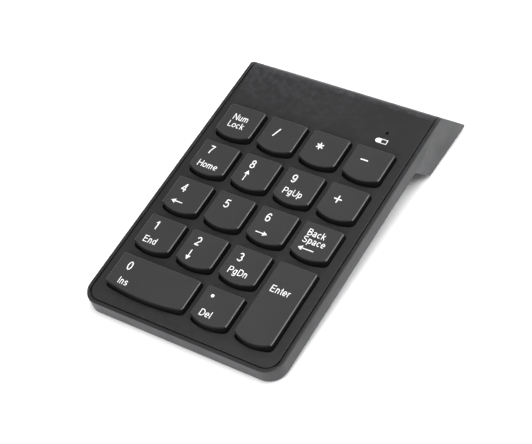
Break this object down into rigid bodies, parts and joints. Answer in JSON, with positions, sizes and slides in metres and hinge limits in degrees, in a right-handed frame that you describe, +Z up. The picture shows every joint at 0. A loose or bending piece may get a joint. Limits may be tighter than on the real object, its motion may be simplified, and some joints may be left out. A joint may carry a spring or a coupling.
{
  "type": "numeric keypad",
  "caption": "Wireless numeric keypad: wedge slab with sprung keys on a leaning battery hump, sliding battery door, power switch and a stowed USB receiver.",
  "frame": {"origin": "centre of the bounding box's base, on the surface that the four feet stand on", "axes": "+X to the user's right, +Y away from the user towards the raised rear, +Z up; the deck is tilted 5.9 degrees about X, rear higher"},
  "size_m": [0.0856, 0.1368, 0.02],
  "materials": {
    "deck_black": "fine satin texture",
    "case_black": "satin",
    "key_black": "fine matt texture",
    "steel": "plain",
    "nickel": "satin nickel plate",
    "gold": "gold flash",
    "film": "polyester film",
    "silicone": "matt",
    "board_green": "solder mask",
    "chip_black": "moulded",
    "led_clear": "clear",
    "cream_plastic": "moulded",
    "cell_wrap": "printed sleeve",
    "rubber": "matt"
  },
  "bodies": {
    "housing": {"backing_plate": "steel", "bottom_case": "case_black", "case_screw_1": "steel", "case_screw_2": "steel", "case_screw_3": "steel", "case_screw_4": "steel", "case_screw_5": "steel", "case_screw_6": "steel", "cell_front": "cell_wrap", "cell_rear": "cell_wrap", "crystal": "steel", "dome_sheet": "silicone", "front_foot_left": "rubber", "front_foot_right": "rubber", "led_light_pipe": "led_clear", "link_contact": "steel", "link_spring": "steel", "main_board": "board_green", "membrane_circuit": "film", "membrane_tail": "film", "negative_contact": "steel", "negative_spring": "steel", "positive_contact": "steel", "power_switch_body": "steel", "radio_chip": "chip_black", "rear_foot_left": "rubber", "rear_foot_right": "rubber", "ribbon_connector": "cream_plastic", "status_led": "led_clear", "top_cover": "deck_black"},
    "key_num_lock": {"key_num_lock": "key_black"},
    "key_divide": {"key_divide": "key_black"},
    "key_multiply": {"key_multiply": "key_black"},
    "key_minus": {"key_minus": "key_black"},
    "key_7": {"key_7": "key_black"},
    "key_8": {"key_8": "key_black"},
    "key_9": {"key_9": "key_black"},
    "key_plus": {"key_plus": "key_black"},
    "key_4": {"key_4": "key_black"},
    "key_5": {"key_5": "key_black"},
    "key_6": {"key_6": "key_black"},
    "key_backspace": {"key_backspace": "key_black"},
    "key_1": {"key_1": "key_black"},
    "key_2": {"key_2": "key_black"},
    "key_3": {"key_3": "key_black"},
    "key_enter": {"key_enter": "key_black", "enter_key_stabiliser": "steel"},
    "key_0": {"key_0": "key_black", "zero_key_stabiliser": "steel"},
    "key_decimal": {"key_decimal": "key_black"},
    "battery_door": {"battery_door": "case_black"},
    "power_switch_knob": {"power_switch_knob": "key_black"},
    "usb_receiver": {"receiver_cap": "key_black", "receiver_shell": "nickel", "receiver_tongue": "chip_black", "plug_contact_1": "gold", "plug_contact_2": "gold", "plug_contact_3": "gold", "plug_contact_4": "gold"}
  },
  "joints": [
    {"name": "key_num_lock_press", "type": "slide", "parent": "housing", "child": "key_num_lock", "axis": [0, 0.1028, -0.9947], "range_m": [0, 0.0018], "stiffness_N_per_m": 300, "springref_m": -0.0008, "deforming": ["dome_sheet"]},
    {"name": "key_divide_press", "type": "slide", "parent": "housing", "child": "key_divide", "axis": [0, 0.1028, -0.9947], "range_m": [0, 0.0018], "stiffness_N_per_m": 300, "springref_m": -0.0008, "deforming": ["dome_sheet"]},
    {"name": "key_multiply_press", "type": "slide", "parent": "housing", "child": "key_multiply", "axis": [0, 0.1028, -0.9947], "range_m": [0, 0.0018], "stiffness_N_per_m": 300, "springref_m": -0.0008, "deforming": ["dome_sheet"]},
    {"name": "key_minus_press", "type": "slide", "parent": "housing", "child": "key_minus", "axis": [0, 0.1028, -0.9947], "range_m": [0, 0.0018], "stiffness_N_per_m": 300, "springref_m": -0.0008, "deforming": ["dome_sheet"]},
    {"name": "key_7_press", "type": "slide", "parent": "housing", "child": "key_7", "axis": [0, 0.1028, -0.9947], "range_m": [0, 0.0018], "stiffness_N_per_m": 300, "springref_m": -0.0008, "deforming": ["dome_sheet"]},
    {"name": "key_8_press", "type": "slide", "parent": "housing", "child": "key_8", "axis": [0, 0.1028, -0.9947], "range_m": [0, 0.0018], "stiffness_N_per_m": 300, "springref_m": -0.0008, "deforming": ["dome_sheet"]},
    {"name": "key_9_press", "type": "slide", "parent": "housing", "child": "key_9", "axis": [0, 0.1028, -0.9947], "range_m": [0, 0.0018], "stiffness_N_per_m": 300, "springref_m": -0.0008, "deforming": ["dome_sheet"]},
    {"name": "key_plus_press", "type": "slide", "parent": "housing", "child": "key_plus", "axis": [0, 0.1028, -0.9947], "range_m": [0, 0.0018], "stiffness_N_per_m": 300, "springref_m": -0.0008, "deforming": ["dome_sheet"]},
    {"name": "key_4_press", "type": "slide", "parent": "housing", "child": "key_4", "axis": [0, 0.1028, -0.9947], "range_m": [0, 0.0018], "stiffness_N_per_m": 300, "springref_m": -0.0008, "deforming": ["dome_sheet"]},
    {"name": "key_5_press", "type": "slide", "parent": "housing", "child": "key_5", "axis": [0, 0.1028, -0.9947], "range_m": [0, 0.0018], "stiffness_N_per_m": 300, "springref_m": -0.0008, "deforming": ["dome_sheet"]},
    {"name": "key_6_press", "type": "slide", "parent": "housing", "child": "key_6", "axis": [0, 0.1028, -0.9947], "range_m": [0, 0.0018], "stiffness_N_per_m": 300, "springref_m": -0.0008, "deforming": ["dome_sheet"]},
    {"name": "key_backspace_press", "type": "slide", "parent": "housing", "child": "key_backspace", "axis": [0, 0.1028, -0.9947], "range_m": [0, 0.0018], "stiffness_N_per_m": 300, "springref_m": -0.0008, "deforming": ["dome_sheet"]},
    {"name": "key_1_press", "type": "slide", "parent": "housing", "child": "key_1", "axis": [0, 0.1028, -0.9947], "range_m": [0, 0.0018], "stiffness_N_per_m": 300, "springref_m": -0.0008, "deforming": ["dome_sheet"]},
    {"name": "key_2_press", "type": "slide", "parent": "housing", "child": "key_2", "axis": [0, 0.1028, -0.9947], "range_m": [0, 0.0018], "stiffness_N_per_m": 300, "springref_m": -0.0008, "deforming": ["dome_sheet"]},
    {"name": "key_3_press", "type": "slide", "parent": "housing", "child": "key_3", "axis": [0, 0.1028, -0.9947], "range_m": [0, 0.0018], "stiffness_N_per_m": 300, "springref_m": -0.0008, "deforming": ["dome_sheet"]},
    {"name": "key_enter_press", "type": "slide", "parent": "housing", "child": "key_enter", "axis": [0, 0.1028, -0.9947], "range_m": [0, 0.0018], "stiffness_N_per_m": 300, "springref_m": -0.0008, "deforming": ["dome_sheet"]},
    {"name": "key_0_press", "type": "slide", "parent": "housing", "child": "key_0", "axis": [0, 0.1028, -0.9947], "range_m": [0, 0.0018], "stiffness_N_per_m": 300, "springref_m": -0.0008, "deforming": ["dome_sheet"]},
    {"name": "key_decimal_press", "type": "slide", "parent": "housing", "child": "key_decimal", "axis": [0, 0.1028, -0.9947], "range_m": [0, 0.0018], "stiffness_N_per_m": 300, "springref_m": -0.0008, "deforming": ["dome_sheet"]},
    {"name": "battery_door_slide", "type": "slide", "parent": "housing", "child": "battery_door", "axis": [0, 0.9997, 0.0259], "range_m": [0, 0.024]},
    {"name": "power_switch_slide", "type": "slide", "parent": "housing", "child": "power_switch_knob", "axis": [0, 0.9947, 0.1028], "range_m": [0, 0.0025]},
    {"name": "receiver_pull_out", "type": "slide", "parent": "housing", "child": "usb_receiver", "axis": [-1, 0, 0], "range_m": [0, 0.025]}
  ]
}
